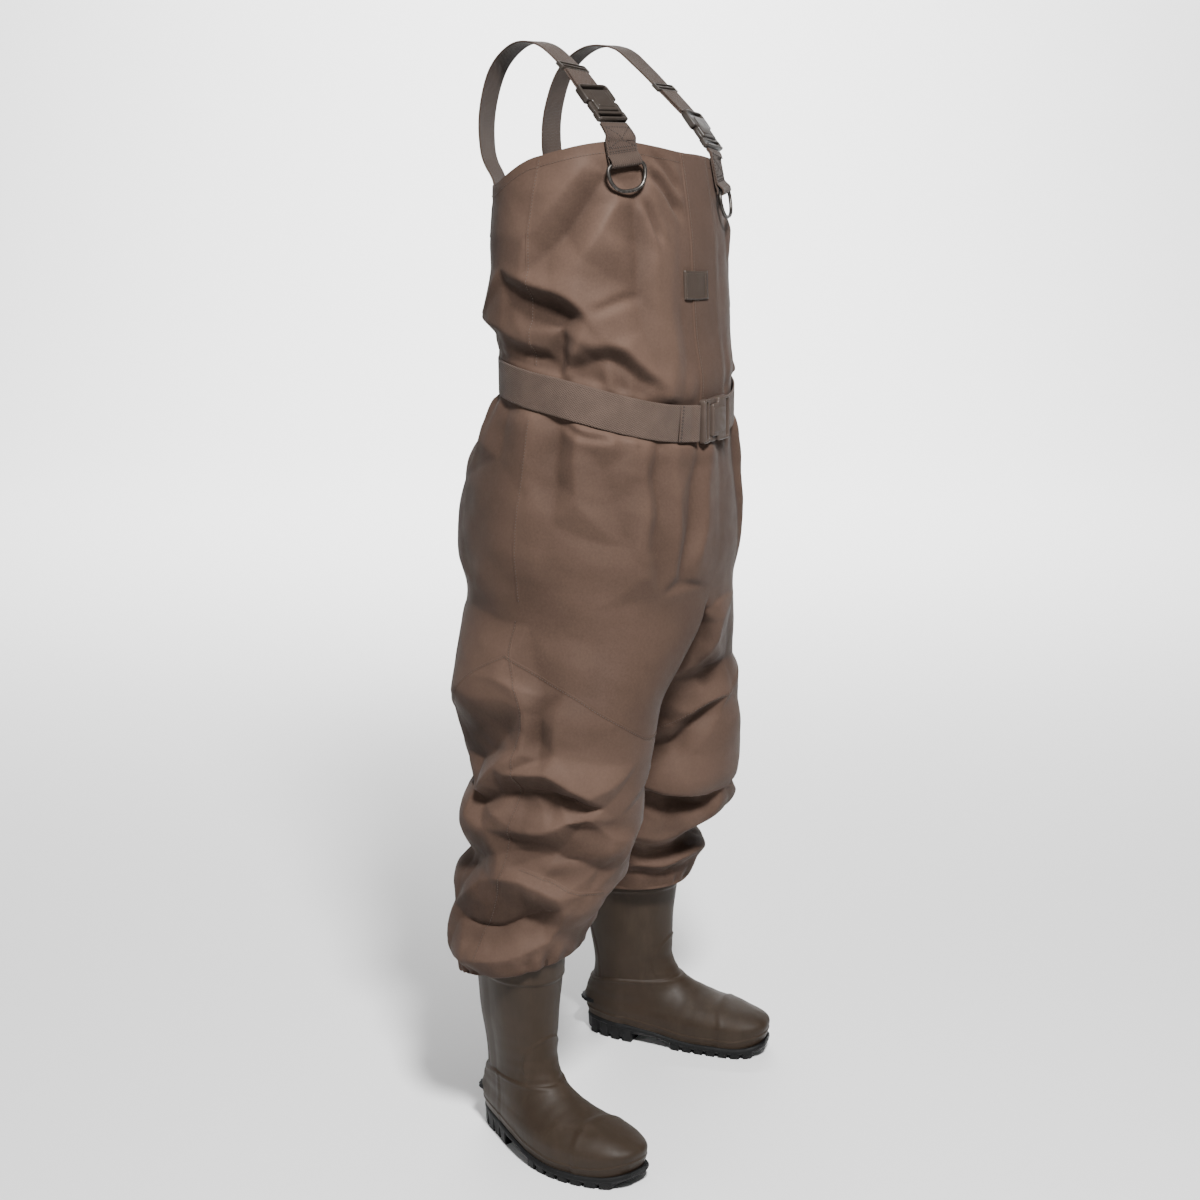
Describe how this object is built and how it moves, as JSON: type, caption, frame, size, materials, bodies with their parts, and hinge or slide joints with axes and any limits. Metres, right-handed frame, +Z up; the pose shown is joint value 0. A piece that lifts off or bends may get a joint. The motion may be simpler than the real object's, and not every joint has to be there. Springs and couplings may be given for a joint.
{
  "type": "bootfoot chest waders",
  "caption": "Chest-high waders of coated cloth with a bib, shoulder straps, a waist belt and rubber boots joined to the legs, standing in worn form.",
  "frame": {"origin": "on the floor, under the middle of the box round the whole garment", "axes": "+Z up, -Y the way the wearer faces, +X the wearer's left"},
  "size_m": [0.5582, 0.3962, 1.5327],
  "materials": {
    "cloth": "coated nylon with a soft sheen",
    "webbing": "ribbed nylon webbing",
    "buckle": "moulded acetal",
    "ring": "dark coated steel wire",
    "rubber": "dull moulded rubber",
    "sole": "black moulded rubber",
    "insole": "felt"
  },
  "bodies": {
    "garment": {"wader_body": "cloth", "front_placket": "cloth", "chest_patch": "rubber", "belt": "webbing", "belt_buckle_socket": "buckle", "belt_buckle_plug": "buckle", "strap_tab_right": "webbing", "strap_tab_left": "webbing", "strap_buckle_socket_right": "buckle", "strap_buckle_socket_left": "buckle", "strap_buckle_plug_right": "buckle", "strap_buckle_plug_left": "buckle", "strap_slider_right": "buckle", "strap_slider_left": "buckle", "suspender_strap_right": "webbing", "suspender_strap_left": "webbing", "boot_upper_right": "rubber", "boot_upper_left": "rubber", "toe_cap_right": "rubber", "toe_cap_left": "rubber", "heel_counter_right": "rubber", "heel_counter_left": "rubber", "shin_panel_right": "rubber", "shin_panel_left": "rubber", "top_band_right": "rubber", "top_band_left": "rubber", "kick_spur_right": "sole", "kick_spur_left": "sole", "outsole_right": "sole", "outsole_left": "sole", "insole_right": "insole", "insole_left": "insole"},
    "ring_right": {"d_ring_right": "ring"},
    "ring_left": {"d_ring_left": "ring"}
  },
  "joints": [
    {"name": "ring_right_swing", "type": "hinge", "parent": "garment", "child": "ring_right", "pos_m": [-0.12772, -0.10874, 1.37777], "axis": [-0.8717, 0.4768, -0.1136], "range_deg": [0, 110]},
    {"name": "ring_left_swing", "type": "hinge", "parent": "garment", "child": "ring_left", "pos_m": [0.09729, -0.13681, 1.33596], "axis": [-0.9687, -0.2394, -0.0664], "range_deg": [0, 110]}
  ]
}
